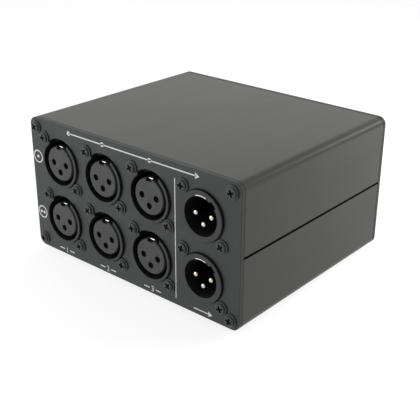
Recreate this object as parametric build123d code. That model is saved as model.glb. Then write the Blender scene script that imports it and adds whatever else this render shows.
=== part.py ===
from build123d import *
import math
import os

# Passive switch box for balanced stereo audio: three pairs of sockets in, one pair of plugs out, and a rotary
# selector on the face opposite the connectors. Millimetres, +Z up, +Y from the connector panel to the control
# panel. The pieces are laid out with the outer face of the connector panel at Y = 0 and the underside of the
# case at Z = 0, and are moved to the bottom centre of the whole part when they are written.

# Case: two extruded halves that meet just above mid height, closed by two end panels
case_length = 98.5
case_wall = 2.0
corner_radius = 3.5
inner_radius = 1.5
end_chamfer = 0.15
panel_thick = 2.0
seam_gap = 1.05
seam_rise = 0.45
lip_thick = 0.9
lip_height = 2.0
lip_clear = 0.1
rail_reach = 1.6
rail_thick = 1.2
rail_slot = 1.8
rail_height = 10.0

# Screws: M3, pan head on a washer flange, cross recess
shank_radius = 1.45
thread_clear = 0.05
hole_clear = 0.2
flange_radius = 2.8
flange_thick = 0.6
flange_rim = 0.7
head_height = 1.5
head_round = 0.5
recess_length = 3.0
recess_width = 0.9
recess_depth = 1.0
panel_screw_length = 10.0
connector_screw_length = 5.0
fixing_inset = 4.0
corner_step_x = 2.1753
corner_step_z = 0.7753
port_radius = 2.8

# Feet: stick-on rubber discs
foot_radius = 5.0
foot_height = 2.5
foot_round = 0.6
foot_inset = 13.0

# Connectors: shell with a flange behind the panel, ring through the panel
input_count = 3
column_gap = 2.0
output_shift = 0.5
row_gap = 1.8
ring_wall = 1.15
ring_stand = 1.25
ring_round = 0.3
ring_clear = 0.25
mount_lip = 1.4
mount_thick = 2.5
ear_radius = 2.8
ear_gap = 0.07
body_step = 0.8
body_depth = 15.5
back_wall = 3.5
neck_wall = 0.19
neck_clear = 0.05
pole_offset = 3.81
tail_radius = 0.5
tail_clear = 0.1
tail_stand = 1.2

# Female socket
core_radius = 7.7
groove_width = 1.75
core_chamfer = 0.5
core_sink = 0.55
window_width = 11.0
entry_radius = 1.4
entry_depth = 1.3
tube_radius = 1.7
tube_bore_radius = 1.25
tube_floor = 2.0
tube_end_gap = 2.4
tube_clear = 0.05
latch_width = 2.4
latch_thick = 0.8
latch_inset = 0.7
latch_sink = 1.9
latch_clear = 0.3
latch_round = 0.3

# Male plug
mate_clear = 0.2
plug_ring_step = 0.45
disc_thick = 2.0
disc_clear = 0.05
pin_radius = 1.2
pin_sink = 1.2
pin_round = 1.0
pin_root = 1.5
pin_collar_radius = 1.6
pin_clear = 0.05
spring_width = 5.0
spring_thick = 0.35
spring_seat = 0.4
spring_sink = 0.05
spring_clear = 0.02
key_width = 3.0
key_depth = 0.9
key_angle = 46.0

# Boards, box headers and ribbon cables
board_thick = 1.6
board_margin = 3.0
port_gap = 1.7
selector_board_width = 50.0
header_length = 20.3
header_width = 8.9
header_height = 8.8
header_wall = 1.1
header_floor = 2.3
header_gap = 0.65
plug_clear = 0.2
plug_height = 13.5
plug_cap = 2.5
ribbon_width = 12.7
ribbon_thick = 0.9
ribbon_clear = 0.1
ribbon_lead = 2.0
ribbon_bend = 4.0

# Rotary switch: three positions, four poles
stop_ring_radius = 8.0
stop_ring_thick = 0.5
stop_tab_width = 2.0
stop_tab_reach = 1.2
switch_radius = 13.0
switch_front = 2.5
switch_wall = 3.0
switch_clear = 0.05
lug_radius = 1.2
lug_inset = 2.5
lug_length = 1.5
lug_clear = 0.1
notch_radius = 1.3
notch_sink = 0.6
stator_thick = 2.5
terminal_radius = 0.55
terminal_head_radius = 1.3
terminal_head_thick = 0.3
terminal_inset = 0.1
terminal_spread = 3.4
pole_count = 4
position_count = 3
position_step = 30.0
bushing_radius = 5.0
bushing_flange_inset = 2.0
bushing_flange_thick = 1.2
bushing_reach = 5.5
shaft_radius = 3.0
shaft_clear = 0.05
shaft_flat = 0.5
rotor_clear = 0.4
rotor_thick = 6.5
moving_gap = 0.3
wiper_width = 2.2
wiper_thick = 0.4
wiper_tip_radius = 0.8
wiper_tip_length = 1.2
ball_radius = 1.2
pocket_clear = 0.05
pocket_floor = 4.5
coil_thick = 0.4
washer_radius = 8.2
washer_thick = 0.6
washer_tooth_count = 10
washer_slot_width = 1.0
washer_slot_depth = 1.6
nut_across_flats = 14.0
nut_thick = 2.5

# Knob
knob_radius = 15.0
knob_length = 15.0
knob_gap = 1.0
knob_round = 1.2
knob_face_thick = 3.0
knob_recess_gap = 1.8
knob_recess_clear = 0.5
knob_end_clear = 0.2
flute_count = 30
flute_radius = 0.7
flute_start = 2.0
pointer_width = 1.4
pointer_depth = 0.7
pointer_start = 4.0
pointer_margin = 2.0
grub_radius = 1.45
grub_clear = 0.05
grub_length = 6.0
grub_socket_radius = 0.8
grub_socket_depth = 2.0
grub_offset = 2.6

# How far a cutting shape runs past the face that it cuts
overrun = 1.0

# Sizes of the connectors, from the core outwards
groove_radius = core_radius + groove_width
ring_radius = groove_radius + ring_wall
plug_ring_radius = ring_radius - plug_ring_step
mount_radius = ring_radius + mount_lip
body_radius = mount_radius - body_step
bore_radius = core_radius + mate_clear
neck_radius = pole_offset + pin_collar_radius + neck_wall
latch_height = core_radius - latch_inset
head_radius = flange_radius - flange_rim
ear_offset = (ring_radius + flange_radius + ear_gap) / math.sqrt(2)

# Sizes of the case: it holds the rows and columns of connectors, with a corner screw beyond the last ear
column_pitch = 2 * mount_radius + column_gap
row_pitch = 2 * mount_radius + row_gap
corner_x = ear_offset + flange_radius + corner_step_x + fixing_inset
corner_z = ear_offset + flange_radius + corner_step_z + fixing_inset
case_width = input_count * column_pitch + 2 * corner_x
case_height = row_pitch + 2 * corner_z

# Places worked out from the sizes above
mid_height = case_height / 2
seam_height = mid_height + seam_rise
half_width = case_width / 2
front_face = case_length
front_inner = case_length - panel_thick
hollow_half = half_width - case_wall
tap_radius = shank_radius + thread_clear
hole_radius = shank_radius + hole_clear
rim = -ring_stand
connector_rear = panel_thick + body_depth
connector_floor = connector_rear - back_wall
core_face = rim + core_sink
tube_seat = core_face + entry_depth
tube_end = connector_floor - tube_end_gap
disc_face = connector_floor - disc_thick
collar_end = connector_floor + pin_root
tail_hole_radius = tail_radius + tail_clear
board_front = connector_rear + board_thick
board_height = case_height - 2 * (case_wall + board_margin)
connector_board_width = case_width - 2 * (fixing_inset + port_radius + port_gap)
header_offset = row_pitch / 2 + tail_radius + header_gap + header_width / 2
rotor_stack = bushing_flange_thick + moving_gap + rotor_thick
wiper_stack = wiper_thick + wiper_tip_length + moving_gap + terminal_head_thick
switch_bore_depth = rotor_stack + wiper_stack
switch_bore_radius = switch_radius - switch_wall
rotor_radius = switch_bore_radius - rotor_clear
notch_offset = switch_bore_radius + notch_sink
lug_offset = switch_radius - lug_inset
bushing_flange_radius = switch_bore_radius - bushing_flange_inset
terminal_outer_offset = switch_bore_radius - terminal_inset - terminal_head_radius
terminal_inner_offset = terminal_outer_offset - terminal_spread
switch_face = front_inner - stop_ring_thick
switch_floor = switch_face - switch_front
switch_rear = switch_floor - switch_bore_depth
stator_rear = switch_rear - stator_thick
selector_rear = stator_rear - board_thick
rotor_rear = switch_floor - rotor_stack
rotor_front = rotor_rear + rotor_thick
knob_back = front_face + knob_gap
knob_face = knob_back + knob_length
knob_recess_radius = washer_radius + knob_recess_gap
knob_recess_floor = front_face + bushing_reach + knob_recess_clear
pointer_end = knob_radius - pointer_margin
shaft_end = knob_face - knob_face_thick - knob_end_clear
ball_offset = switch_bore_radius - moving_gap - ball_radius
lowest_y = -max(ring_stand, head_height)
shift = Pos(0, -(lowest_y + knob_face) / 2, foot_height)

column_centres = [(i - input_count / 2) * column_pitch for i in range(input_count)]
column_centres.append(input_count / 2 * column_pitch + output_shift)
row_centres = {"upper": mid_height + row_pitch / 2, "lower": mid_height - row_pitch / 2}
connector_places = [(x, z) for x in column_centres for z in row_centres.values()]
ear_places = [(-ear_offset, ear_offset), (ear_offset, -ear_offset)]
pole_places = [(-pole_offset, 0), (pole_offset, 0), (0, -pole_offset)]
fixing_places = [
    (side * (half_width - fixing_inset), z)
    for side in (-1, 1)
    for z in (fixing_inset, case_height - fixing_inset)
]
header_places = [mid_height + header_offset, mid_height - header_offset]

BASE = (Align.CENTER, Align.CENTER, Align.MIN)


def rod(radius, y0, y1, x=0, z=0):
    """Round bar along Y from y0 to y1."""
    return Pos(x, y0, z) * Rot(-90, 0, 0) * Cylinder(radius, y1 - y0, align=BASE)


def ring(outer, inner, y0, y1, x=0, z=0):
    """Round tube along Y from y0 to y1."""
    return rod(outer, y0, y1, x, z) - rod(inner, y0 - overrun, y1 + overrun, x, z)


def block(x0, x1, y0, y1, z0, z1):
    """Box between two corners."""
    middle = Pos((x0 + x1) / 2, (y0 + y1) / 2, (z0 + z1) / 2)
    return middle * Box(x1 - x0, y1 - y0, z1 - z0)


def slab(sketch, y0, y1):
    """Extrude a sketch of the XZ plane from y0 to y1."""
    return extrude(Plane.XZ.offset(-y1) * sketch, y1 - y0)


def rect(x0, x1, z0, z1):
    """Rectangle of the XZ plane between two corners."""
    return Pos((x0 + x1) / 2, (z0 + z1) / 2) * Rectangle(x1 - x0, z1 - z0)


def turned(shape, angle):
    """Turn a shape about the selector's axis."""
    return Pos(0, 0, mid_height) * Rot(0, -angle, 0) * Pos(0, 0, -mid_height) * shape


def polar(offset, angle):
    """Point at an angle about the selector's axis, seen from behind the control panel."""
    turn = math.radians(angle)
    return offset * math.cos(turn), mid_height + offset * math.sin(turn)


def group(shapes):
    """Several separate solids in one piece."""
    return Compound(children=list(shapes))


def case_outline():
    """Outer outline of the case and of both end panels."""
    return Pos(0, mid_height) * RectangleRounded(case_width, case_height, corner_radius)


def chamfered(solid):
    """Break the outer edges of the two ends of a case part."""
    ends = solid.faces().sort_by(Axis.Y)
    edges = ends[0].outer_wire().edges() + ends[-1].outer_wire().edges()
    return chamfer(edges, end_chamfer)


def case_half(upper):
    """One extruded half: wall, screw ports, board rails, and a lip or a rebate at the seam."""
    hollow = RectangleRounded(case_width - 2 * case_wall, case_height - 2 * case_wall, inner_radius)
    profile = case_outline() - Pos(0, mid_height) * hollow
    face_z = case_height if upper else 0
    inward = -1 if upper else 1
    slot_z = face_z + inward * rail_height
    for side in (-1, 1):
        port = Pos(side * (half_width - fixing_inset), face_z + inward * fixing_inset)
        profile += port * Circle(port_radius)
        for edge in (-1, 1):
            rail_z = slot_z + edge * (rail_slot + rail_thick) / 2
            wall_x = sorted((side * hollow_half, side * (hollow_half - rail_reach)))
            profile += rect(*wall_x, rail_z - rail_thick / 2, rail_z + rail_thick / 2)
    if upper:
        profile &= rect(-case_width, case_width, seam_height + seam_gap / 2, case_height + overrun)
    else:
        profile &= rect(-case_width, case_width, -overrun, seam_height - seam_gap / 2)
    for side in (-1, 1):
        depth = lip_thick + (lip_clear if upper else 0)
        lip_x = sorted((side * hollow_half, side * (hollow_half + depth)))
        if upper:
            profile -= rect(*lip_x, seam_height, seam_height + lip_height)
        else:
            profile += rect(*lip_x, seam_height - seam_gap, seam_height + lip_height)
        port = Pos(side * (half_width - fixing_inset), face_z + inward * fixing_inset)
        profile -= port * Circle(tap_radius)
    envelope = chamfered(slab(case_outline(), panel_thick, front_inner))
    return slab(profile, panel_thick, front_inner) & envelope


def rear_panel():
    """Connector panel with a round hole and two screw holes for each connector."""
    plate = chamfered(slab(case_outline(), 0, panel_thick))
    holes = Sketch()
    for x, z in connector_places:
        outer = plug_ring_radius if x == column_centres[-1] else ring_radius
        holes += Pos(x, z) * Circle(outer + ring_clear)
        for dx, dz in ear_places:
            holes += Pos(x + dx, z + dz) * Circle(hole_radius)
    for x, z in fixing_places:
        holes += Pos(x, z) * Circle(hole_radius)
    return plate - slab(holes, -overrun, panel_thick + overrun)


def front_panel():
    """Control panel with the bushing hole and the hole for the switch's locating lug."""
    plate = chamfered(slab(case_outline(), front_inner, front_face))
    holes = Pos(0, mid_height) * Circle(bushing_radius + switch_clear)
    holes += Pos(-lug_offset, mid_height) * Circle(lug_radius + lug_clear)
    for x, z in fixing_places:
        holes += Pos(x, z) * Circle(hole_radius)
    return plate - slab(holes, front_inner - overrun, front_face + overrun)


def screw(length):
    """Screw with its head on the plane Y = 0, pointing along +Y."""
    head = rod(head_radius, -head_height, -flange_thick)
    head = fillet(head.edges().filter_by(GeomType.CIRCLE).sort_by(Axis.Y)[0], head_round)
    solid = head + rod(flange_radius, -flange_thick, 0) + rod(shank_radius, 0, length)
    for span, width in ((recess_length, recess_width), (recess_width, recess_length)):
        solid -= block(
            -span / 2, span / 2, -head_height - overrun, recess_depth - head_height, -width / 2, width / 2
        )
    return solid


def feet():
    """Four rubber feet under the lower half."""
    foot = Pos(0, 0, -foot_height) * Cylinder(foot_radius, foot_height, align=BASE)
    foot = fillet(foot.edges().filter_by(GeomType.CIRCLE).sort_by(Axis.Z)[0], foot_round)
    return group(
        Pos(x, y, 0) * foot
        for x in (foot_inset - half_width, half_width - foot_inset)
        for y in (foot_inset, case_length - foot_inset)
    )


def connector_shell(outer_radius, cavity_radius):
    """Shell of a connector: ring through the panel, flange with two ears behind it, body with a back wall."""
    solid = rod(outer_radius, rim, panel_thick)
    solid = fillet(solid.edges().filter_by(GeomType.CIRCLE).sort_by(Axis.Y)[0], ring_round)
    solid += rod(body_radius, panel_thick, connector_rear)
    flange = Circle(mount_radius)
    for dx, dz in ear_places:
        flange += Pos(dx, dz) * Circle(ear_radius)
    solid += slab(flange, panel_thick, panel_thick + mount_thick)
    for dx, dz in ear_places:
        solid -= rod(tap_radius, panel_thick - overrun, panel_thick + mount_thick + overrun, dx, dz)
    solid -= rod(cavity_radius, rim - overrun, connector_floor)
    return solid - rod(neck_radius + neck_clear, connector_floor - overrun, connector_rear + overrun)


def socket_shell():
    """Female shell: the ring is open at 12 o'clock."""
    window = block(
        -window_width / 2, window_width / 2, rim - overrun, panel_thick, 0, ring_radius + overrun
    )
    return connector_shell(ring_radius, groove_radius) - (window - rod(groove_radius, rim - overrun, panel_thick))


def socket_core():
    """Female insulating core with three contact holes and a notch for the latch tongue."""
    barrel = rod(core_radius, core_face, connector_floor)
    barrel = chamfer(barrel.edges().filter_by(GeomType.CIRCLE).sort_by(Axis.Y)[0], core_chamfer)
    solid = barrel + rod(neck_radius, connector_floor, connector_rear)
    for dx, dz in pole_places:
        solid -= rod(entry_radius, core_face - overrun, tube_seat, dx, dz)
        solid -= rod(tube_radius + tube_clear, tube_seat, tube_end, dx, dz)
        solid -= rod(tail_hole_radius, tube_end, connector_rear + overrun, dx, dz)
    reach = latch_width / 2 + latch_clear
    floor = latch_height - latch_thick / 2 - latch_clear
    notch = block(-reach, reach, core_face - overrun, connector_floor, floor, core_radius + overrun)
    return solid - notch


def socket_contacts():
    """Three contact tubes with tails that go through the connector board."""
    tube = rod(tube_radius, tube_seat, tube_end)
    tube -= rod(tube_bore_radius, tube_seat - overrun, tube_end - tube_floor)
    tube += rod(tail_radius, tube_end, board_front + tail_stand)
    return [Pos(dx, 0, dz) * tube for dx, dz in pole_places]


def socket_latch():
    """Bright tongue in the notch of the core."""
    strip = block(
        -latch_width / 2,
        latch_width / 2,
        rim + latch_sink,
        connector_floor,
        latch_height - latch_thick / 2,
        latch_height + latch_thick / 2,
    )
    tip = strip.faces().sort_by(Axis.Y)[0].edges().filter_by(Axis.X)
    return fillet(tip, latch_round)


def plug_shell():
    """Male shell: its bore has a key slot at upper right and a shallow seat for the ground spring at the top."""
    slot = block(0, bore_radius + key_depth, rim - overrun, disc_face, -key_width / 2, key_width / 2)
    reach = spring_width / 2 + spring_clear
    seat = rod(bore_radius + spring_seat, rim - overrun, disc_face)
    seat &= block(-reach, reach, rim - overrun, disc_face, 0, ring_radius)
    return connector_shell(plug_ring_radius, bore_radius) - Rot(0, -key_angle, 0) * slot - seat


def plug_core():
    """Male insulating disc and neck that hold the pins."""
    solid = rod(bore_radius - disc_clear, disc_face, connector_floor)
    solid += rod(neck_radius, connector_floor, connector_rear)
    for dx, dz in pole_places:
        solid -= rod(pin_collar_radius + pin_clear, disc_face - overrun, collar_end, dx, dz)
        solid -= rod(tail_hole_radius, collar_end, connector_rear + overrun, dx, dz)
    return solid


def plug_pins():
    """Three gold pins: domed tip, collar in the disc, and a tail that goes through the connector board."""
    pin = rod(pin_radius, rim + pin_sink, disc_face)
    pin = fillet(pin.edges().filter_by(GeomType.CIRCLE).sort_by(Axis.Y)[0], pin_round)
    pin += rod(pin_collar_radius, disc_face, collar_end)
    pin += rod(tail_radius, collar_end, board_front + tail_stand)
    return [Pos(dx, 0, dz) * pin for dx, dz in pole_places]


def plug_ground_spring():
    """Curved bright strip in the seat at the top of the male shell's bore."""
    outer = bore_radius + spring_seat - spring_clear
    strip = ring(outer, outer - spring_thick, rim + spring_sink, disc_face)
    keep = block(
        -spring_width / 2, spring_width / 2, rim, connector_floor, 0, ring_radius
    )
    return strip & keep


def connector_board():
    """Board behind the connectors, drilled for their tails."""
    half = connector_board_width / 2
    plate = block(
        -half, half, connector_rear, board_front, mid_height - board_height / 2, mid_height + board_height / 2
    )
    holes = Sketch()
    for x, z in connector_places:
        for dx, dz in pole_places:
            holes += Pos(x + dx, z + dz) * Circle(tail_hole_radius)
    return plate - slab(holes, connector_rear - overrun, board_front + overrun)


def selector_board():
    """Board on the back of the switch, drilled for its terminals."""
    half = selector_board_width / 2
    plate = block(
        -half, half, selector_rear, stator_rear, mid_height - board_height / 2, mid_height + board_height / 2
    )
    holes = Sketch()
    for x, z in terminal_places():
        holes += Pos(x, z) * Circle(terminal_radius + tail_clear)
    return plate - slab(holes, selector_rear - overrun, stator_rear + overrun)


def box_header(z):
    """Shrouded header standing on Y = 0 along +Y."""
    half_x = header_length / 2
    half_z = header_width / 2
    shroud = block(-half_x, half_x, 0, header_height, z - half_z, z + half_z)
    pocket = block(
        header_wall - half_x,
        half_x - header_wall,
        header_floor,
        header_height + overrun,
        z - half_z + header_wall,
        z + half_z - header_wall,
    )
    return shroud - pocket


def ribbon_plug(z):
    """Cable plug in the pocket of a header, with the slot that the ribbon goes through."""
    half_x = header_length / 2 - header_wall - plug_clear
    half_z = header_width / 2 - header_wall - plug_clear
    top = header_floor + plug_height
    body = block(-half_x, half_x, header_floor, top, z - half_z, z + half_z)
    slot_half = ribbon_width / 2 + ribbon_clear
    slot = block(
        -slot_half,
        slot_half,
        top - plug_cap - ribbon_thick - ribbon_clear,
        top - plug_cap,
        z - half_z - overrun,
        z + half_z + overrun,
    )
    return body - slot


def on_connector_board(shape):
    """Stand a shape on the inner face of the connector board."""
    return Pos(0, board_front, 0) * shape


def on_selector_board(shape):
    """Stand a shape on the inner face of the selector board, facing the other board."""
    return Pos(0, selector_rear, 0) * mirror(shape, Plane.XZ)


def ribbon_cable(z):
    """Flat cable between the two plugs at one height, sagging towards the middle of the case."""
    top = header_floor + plug_height - plug_cap - ribbon_thick
    y0 = board_front + top
    y1 = selector_rear - top
    half_z = header_width / 2 - header_wall - plug_clear
    inward = -1 if z > mid_height else 1
    start = z - inward * half_z
    corner = z + inward * (half_z + ribbon_lead + ribbon_bend)
    outer = FilletPolyline((y0, start), (y0, corner), (y1, corner), (y1, start), radius=ribbon_bend)
    step = inward * ribbon_thick
    inner = FilletPolyline(
        (y0 + ribbon_thick, start),
        (y0 + ribbon_thick, corner - step),
        (y1 - ribbon_thick, corner - step),
        (y1 - ribbon_thick, start),
        radius=ribbon_bend - ribbon_thick,
    )
    ends = [Line(outer @ 0, inner @ 0), Line(outer @ 1, inner @ 1)]
    face = make_face(outer.edges() + inner.edges() + ends)
    return extrude(Plane.YZ.offset(-ribbon_width / 2) * face, ribbon_width)


def terminal_places():
    """Centres of the fixed terminals: the positions of every pole, then the commons."""
    poles = [(k + 1 / 2) * 360 / pole_count for k in range(pole_count)]
    steps = [(i - (position_count - 1) / 2) * position_step for i in range(position_count)]
    outer = [polar(terminal_outer_offset, pole + step) for pole in poles for step in steps]
    return outer + [polar(terminal_inner_offset, pole) for pole in poles]


def stop_ring():
    """Ring between switch and panel that limits the travel, with its tab bent into the switch."""
    solid = ring(stop_ring_radius, bushing_radius + switch_clear, switch_face, front_inner, 0, mid_height)
    half = stop_tab_width / 2
    low = mid_height + stop_ring_radius - stop_ring_thick - stop_tab_width / 2
    return solid + block(-half, half, switch_face - stop_tab_reach, switch_face, low, low + stop_ring_thick)


def switch_case():
    """Cup of the switch with detent notches in its wall and a locating lug on its face."""
    solid = rod(switch_radius, switch_rear, switch_face, 0, mid_height)
    solid += rod(lug_radius, switch_face, front_inner + lug_length, -lug_offset, mid_height)
    solid -= rod(switch_bore_radius, switch_rear - overrun, switch_floor, 0, mid_height)
    solid -= rod(bushing_radius + switch_clear, switch_floor - overrun, switch_face + overrun, 0, mid_height)
    half = stop_tab_width / 2 + switch_clear
    low = mid_height + stop_ring_radius - stop_ring_thick - stop_tab_width / 2
    solid -= block(
        -half,
        half,
        switch_face - stop_tab_reach - switch_clear,
        switch_face + overrun,
        low - switch_clear,
        low + stop_ring_thick + switch_clear,
    )
    for k in range(round(360 / position_step)):
        x, z = polar(notch_offset, 90 + k * position_step)
        solid -= rod(notch_radius, switch_rear - overrun, switch_floor, x, z)
    return solid


def switch_stator():
    """Disc that closes the cup and carries the fixed terminals."""
    solid = rod(switch_radius, stator_rear, switch_rear, 0, mid_height)
    for x, z in terminal_places():
        solid -= rod(terminal_radius + switch_clear, stator_rear - overrun, switch_rear + overrun, x, z)
    return solid


def switch_terminals():
    """Fixed terminals: contact heads inside, tails through the selector board."""
    return [
        rod(terminal_radius, selector_rear - tail_stand, switch_rear, x, z)
        + rod(terminal_head_radius, switch_rear, switch_rear + terminal_head_thick, x, z)
        for x, z in terminal_places()
    ]


def switch_bushing():
    """Threaded bushing with its flange inside the cup."""
    solid = rod(bushing_radius, switch_floor, front_face + bushing_reach, 0, mid_height)
    solid += rod(bushing_flange_radius, switch_floor - bushing_flange_thick, switch_floor, 0, mid_height)
    low = switch_floor - bushing_flange_thick - overrun
    return solid - rod(shaft_radius + shaft_clear, low, front_face + bushing_reach + overrun, 0, mid_height)


def switch_shaft():
    """Shaft from the rotor to the knob, with a flat for the set screw."""
    solid = rod(shaft_radius, rotor_rear, shaft_end, 0, mid_height)
    flat_z = mid_height - shaft_radius + shaft_flat
    flat = block(
        -shaft_radius, shaft_radius, knob_recess_floor, shaft_end + overrun, flat_z - shaft_radius, flat_z
    )
    return solid - flat


def switch_rotor():
    """Disc on the shaft, with a radial pocket for the detent spring and ball."""
    solid = ring(rotor_radius, shaft_radius + switch_clear, rotor_rear, rotor_front, 0, mid_height)
    middle = (rotor_rear + rotor_front) / 2
    pocket = Cylinder(ball_radius + pocket_clear, rotor_radius, align=BASE)
    return solid - Pos(0, middle, mid_height + pocket_floor) * pocket


def detent_spring():
    """Sleeve that stands for the coil spring under the ball."""
    middle = (rotor_rear + rotor_front) / 2
    hollow = ball_radius - coil_thick
    top = ball_offset - math.sqrt(ball_radius**2 - hollow**2)
    sleeve = Cylinder(ball_radius, top - pocket_floor, align=BASE)
    sleeve -= Cylinder(hollow, top - pocket_floor, align=BASE)
    return Pos(0, middle, mid_height + pocket_floor) * sleeve


def detent_ball():
    """Ball at the mouth of the rotor's pocket, clear of the detent teeth."""
    return Pos(0, (rotor_rear + rotor_front) / 2, mid_height + ball_offset) * Sphere(ball_radius)


def rotor_wipers():
    """One blade for each pole, with tips over the common and the selected terminal."""
    tip_end = switch_rear + terminal_head_thick + moving_gap
    blades = []
    for k in range(pole_count):
        angle = (k + 1 / 2) * 360 / pole_count
        blade = block(
            terminal_inner_offset - wiper_width / 2,
            terminal_outer_offset + wiper_width / 2 - moving_gap,
            rotor_rear - wiper_thick,
            rotor_rear,
            mid_height - wiper_width / 2,
            mid_height + wiper_width / 2,
        )
        for offset in (terminal_inner_offset, terminal_outer_offset):
            blade += rod(wiper_tip_radius, tip_end, rotor_rear - wiper_thick, offset, mid_height)
        blades.append(turned(blade, angle))
    return blades


def lock_washer():
    """Toothed washer under the nut."""
    end = front_face + washer_thick
    solid = ring(washer_radius, bushing_radius + switch_clear, front_face, end, 0, mid_height)
    for k in range(washer_tooth_count):
        slot = block(
            washer_radius - washer_slot_depth,
            washer_radius + overrun,
            front_face - overrun,
            end + overrun,
            mid_height - washer_slot_width / 2,
            mid_height + washer_slot_width / 2,
        )
        solid -= turned(slot, k * 360 / washer_tooth_count)
    return solid


def bushing_nut():
    """Thin hex nut that holds the switch to the control panel."""
    hexagon = RegularPolygon(nut_across_flats / 2, 6, major_radius=False)
    hexagon = hexagon - Circle(bushing_radius + thread_clear)
    low = front_face + washer_thick
    return slab(Pos(0, mid_height) * hexagon, low, low + nut_thick)


def knob():
    """Fluted knob over the nut, with a shaft bore, a pointer groove and a set screw hole."""
    solid = rod(knob_radius, knob_back, knob_face, 0, mid_height)
    rim_edge = solid.edges().filter_by(GeomType.CIRCLE).sort_by(Axis.Y)[-1]
    solid = fillet(rim_edge, knob_round)
    for k in range(flute_count):
        x, z = polar(knob_radius, (k + 1 / 2) * 360 / flute_count)
        solid -= rod(flute_radius, knob_back + flute_start, knob_face + overrun, x, z)
    solid -= rod(knob_recess_radius, knob_back - overrun, knob_recess_floor, 0, mid_height)
    bore_end = knob_face - knob_face_thick
    solid -= rod(shaft_radius + switch_clear, knob_recess_floor - overrun, bore_end, 0, mid_height)
    grub_hole = Cylinder(grub_radius + grub_clear, knob_radius + overrun, align=BASE)
    solid -= Pos(0, knob_recess_floor + grub_offset, mid_height) * Rot(180, 0, 0) * grub_hole
    return solid - pointer_bar(overrun)


def pointer_bar(extra):
    """Bar on the knob's face, taller by an extra length where it cuts the groove."""
    half = pointer_width / 2
    return block(
        -half,
        half,
        knob_face - pointer_depth,
        knob_face + extra,
        mid_height + pointer_start,
        mid_height + pointer_end,
    )


def knob_set_screw():
    """Headless screw from the side of the knob to the flat of the shaft."""
    solid = Cylinder(grub_radius, grub_length, align=BASE)
    socket = RegularPolygon(grub_socket_radius, 6)
    solid -= extrude(Pos(0, 0, grub_length - grub_socket_depth) * socket, grub_socket_depth + overrun)
    tip = Pos(0, knob_recess_floor + grub_offset, mid_height - shaft_radius + shaft_flat)
    return tip * Rot(180, 0, 0) * solid


def build():
    """Make every piece, by name."""
    panel_screw = screw(panel_screw_length)
    connector_screw = screw(connector_screw_length)
    pieces = {
        "upper_shell": case_half(True),
        "lower_shell": case_half(False),
        "rear_panel": rear_panel(),
        "front_panel": front_panel(),
        "panel_screws": group(
            [Pos(x, 0, z) * panel_screw for x, z in fixing_places]
            + [Pos(x, front_face, z) * Rot(0, 0, 180) * panel_screw for x, z in fixing_places]
        ),
        "connector_screws": group(
            Pos(x + dx, 0, z + dz) * connector_screw for x, z in connector_places for dx, dz in ear_places
        ),
        "rubber_feet": feet(),
        "connector_board": connector_board(),
        "selector_board": selector_board(),
        "box_headers": group(
            [on_connector_board(box_header(z)) for z in header_places]
            + [on_selector_board(box_header(z)) for z in header_places]
        ),
        "ribbon_plugs": group(
            [on_connector_board(ribbon_plug(z)) for z in header_places]
            + [on_selector_board(ribbon_plug(z)) for z in header_places]
        ),
        "ribbon_cables": group(ribbon_cable(z) for z in header_places),
        "stop_ring": stop_ring(),
        "switch_case": switch_case(),
        "switch_stator": switch_stator(),
        "switch_terminals": group(switch_terminals()),
        "switch_bushing": switch_bushing(),
        "switch_shaft": switch_shaft(),
        "switch_rotor": switch_rotor(),
        "rotor_wipers": group(rotor_wipers()),
        "detent_spring": detent_spring(),
        "detent_ball": detent_ball(),
        "lock_washer": lock_washer(),
        "bushing_nut": bushing_nut(),
        "knob": knob(),
        "knob_pointer": pointer_bar(0),
        "knob_set_screw": knob_set_screw(),
    }
    sockets = {
        "shell": socket_shell(),
        "core": socket_core(),
        "contacts": group(socket_contacts()),
        "latch": socket_latch(),
    }
    plugs = {
        "shell": plug_shell(),
        "core": plug_core(),
        "pins": group(plug_pins()),
        "ground_spring": plug_ground_spring(),
    }
    for row, z in row_centres.items():
        for column in range(input_count):
            for name, shape in sockets.items():
                pieces[f"input_{column + 1}_{row}_{name}"] = Pos(column_centres[column], 0, z) * shape
        for name, shape in plugs.items():
            pieces[f"output_{row}_{name}"] = Pos(column_centres[-1], 0, z) * shape
    return pieces


os.makedirs("parts", exist_ok=True)
for node, piece in build().items():
    export_step(shift * piece, f"parts/{node}.step")
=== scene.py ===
import logging
import math
from abc import ABC, abstractmethod
from dataclasses import dataclass, field
from enum import Enum

import bmesh
import bpy
from bmesh.types import BMesh, BMFace, BMVert
from bpy.types import Material, Node, NodeSocket as Socket, Object, World
from mathutils import Matrix, Vector


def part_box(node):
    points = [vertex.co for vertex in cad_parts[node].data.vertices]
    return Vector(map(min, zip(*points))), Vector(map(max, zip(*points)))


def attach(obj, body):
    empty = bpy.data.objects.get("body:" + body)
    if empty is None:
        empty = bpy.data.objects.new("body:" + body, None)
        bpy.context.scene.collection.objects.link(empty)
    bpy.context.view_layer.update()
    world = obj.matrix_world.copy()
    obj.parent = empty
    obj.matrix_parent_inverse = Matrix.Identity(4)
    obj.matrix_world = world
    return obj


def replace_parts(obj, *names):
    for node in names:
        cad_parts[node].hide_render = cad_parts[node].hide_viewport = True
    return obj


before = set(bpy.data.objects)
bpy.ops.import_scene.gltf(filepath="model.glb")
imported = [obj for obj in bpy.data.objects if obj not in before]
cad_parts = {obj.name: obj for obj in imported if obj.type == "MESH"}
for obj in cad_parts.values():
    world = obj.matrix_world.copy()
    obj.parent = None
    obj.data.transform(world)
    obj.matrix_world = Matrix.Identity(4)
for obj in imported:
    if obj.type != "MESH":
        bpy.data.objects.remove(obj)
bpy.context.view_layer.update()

LOG = logging.getLogger("switch_box")
MM = 0.001
Colour = tuple[float, float, float]
Triple = tuple[float, float, float]
Shades = tuple[tuple[float, float], ...]
Amount = float | Socket
# Corners nearer than this are one corner
CLOSE = 0.002 * MM
# The part of a noise where most of its values lie
NOISE_RANGE = (0.3, 0.7)


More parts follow.
